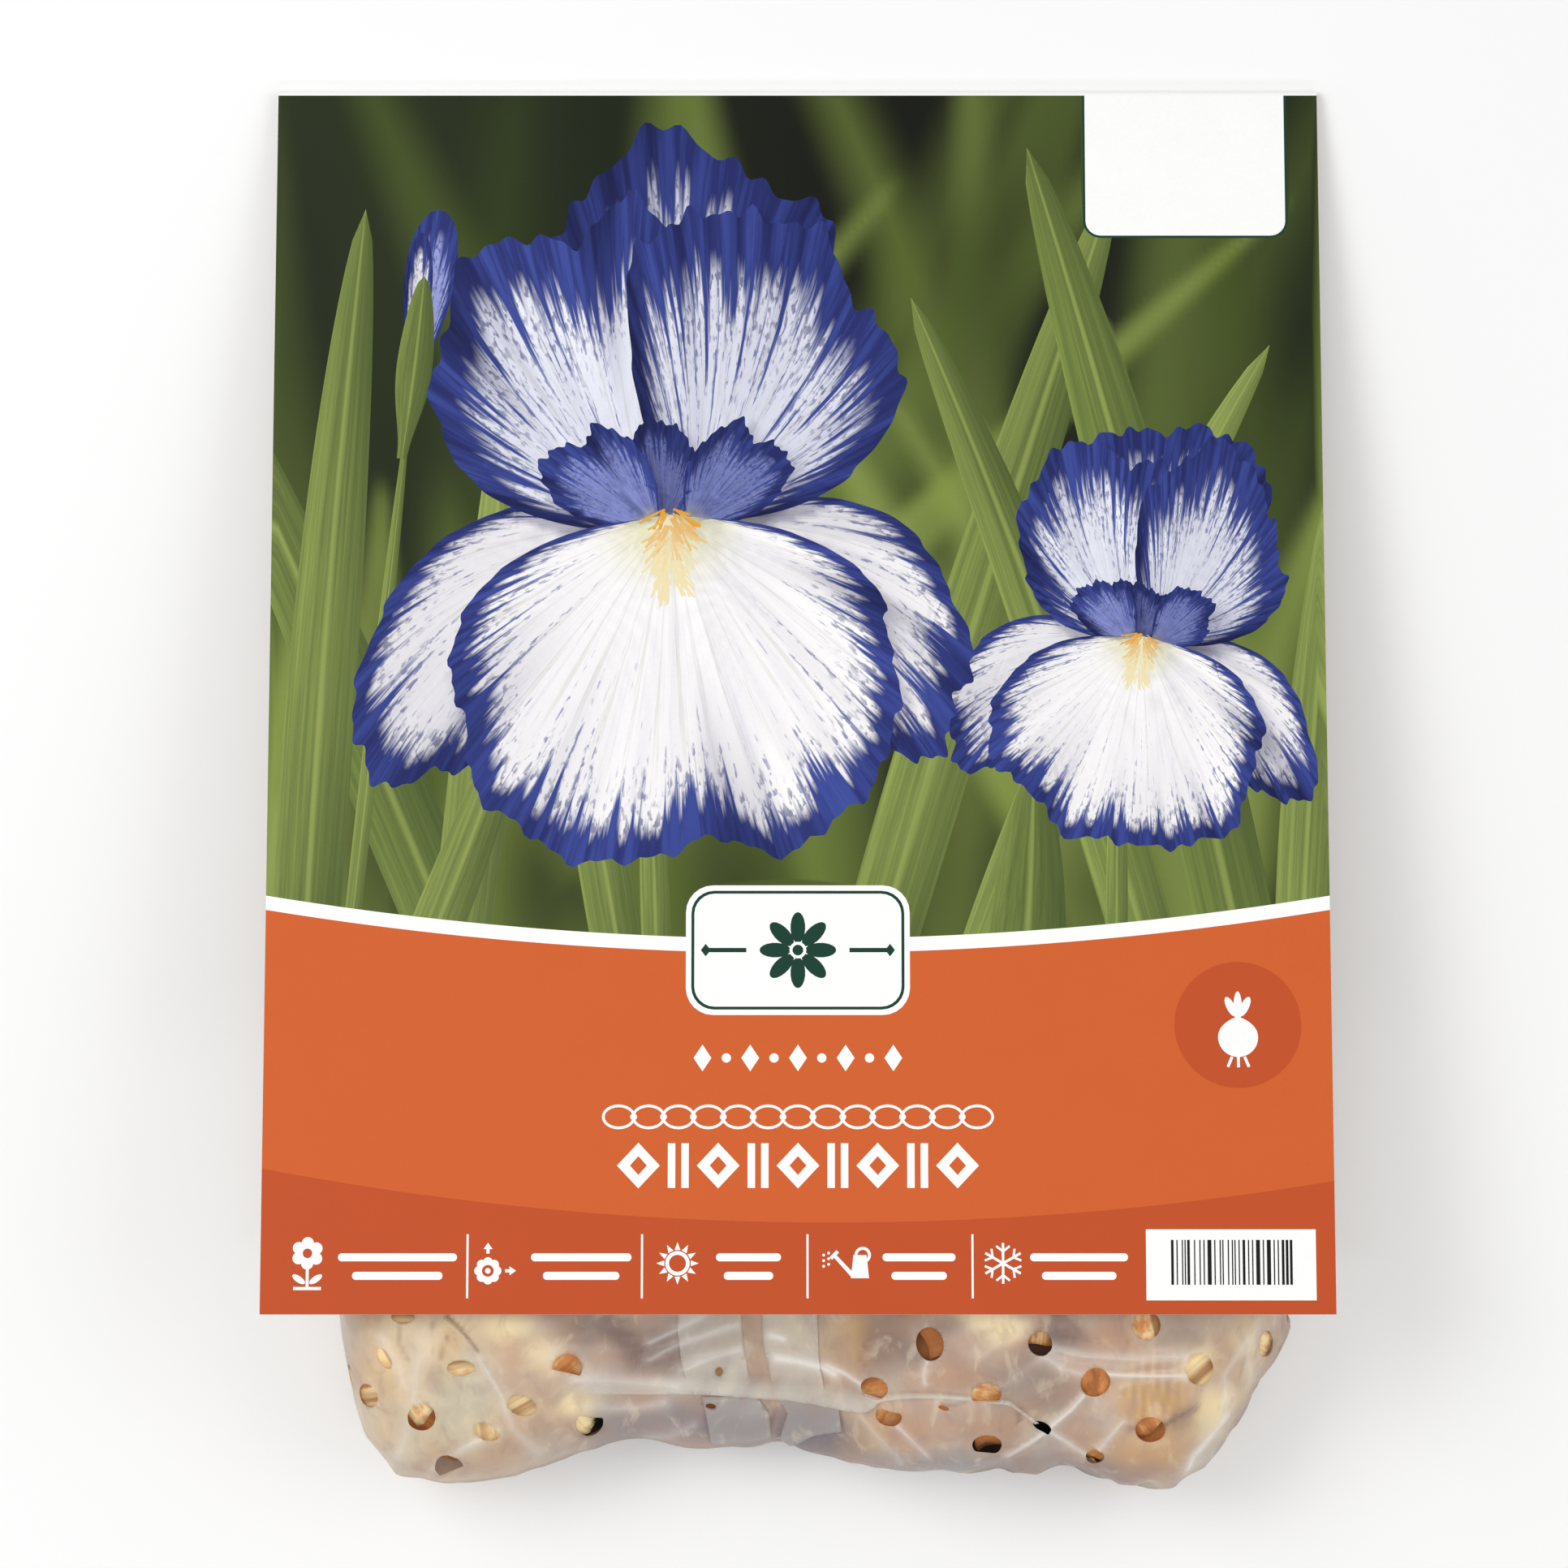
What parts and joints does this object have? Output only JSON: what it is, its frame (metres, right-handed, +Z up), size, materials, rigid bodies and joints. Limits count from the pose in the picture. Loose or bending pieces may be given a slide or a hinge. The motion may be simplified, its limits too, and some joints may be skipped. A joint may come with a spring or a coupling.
{
  "type": "packaged iris rhizome",
  "caption": "Iris rhizome in wood shavings in a vented film bag, under a tall folded header card, lying on its back.",
  "frame": {"origin": "on the surface that the pack lies on, under the middle of its footprint", "axes": "+X to the right of the printed panel, +Y up the panel towards the fold, +Z up and out of the printed panel"},
  "size_m": [0.215, 0.288, 0.0442],
  "materials": {
    "printed_card": "coated board with a satin print",
    "milky_film": "thin milky film, creased, with a soft gloss",
    "glue": "satin",
    "rhizome_skin": "dry papery skin, matte",
    "dry_leaf": "fading green, matte",
    "pale_wood": "unfinished planed wood, matte"
  },
  "bodies": {
    "root": {"header_card": "printed_card", "film_bag": "milky_film", "glue_front": "glue", "glue_back": "glue", "rhizome": "rhizome_skin", "leaf_fan": "dry_leaf", "shavings": "pale_wood"}
  },
  "joints": []
}
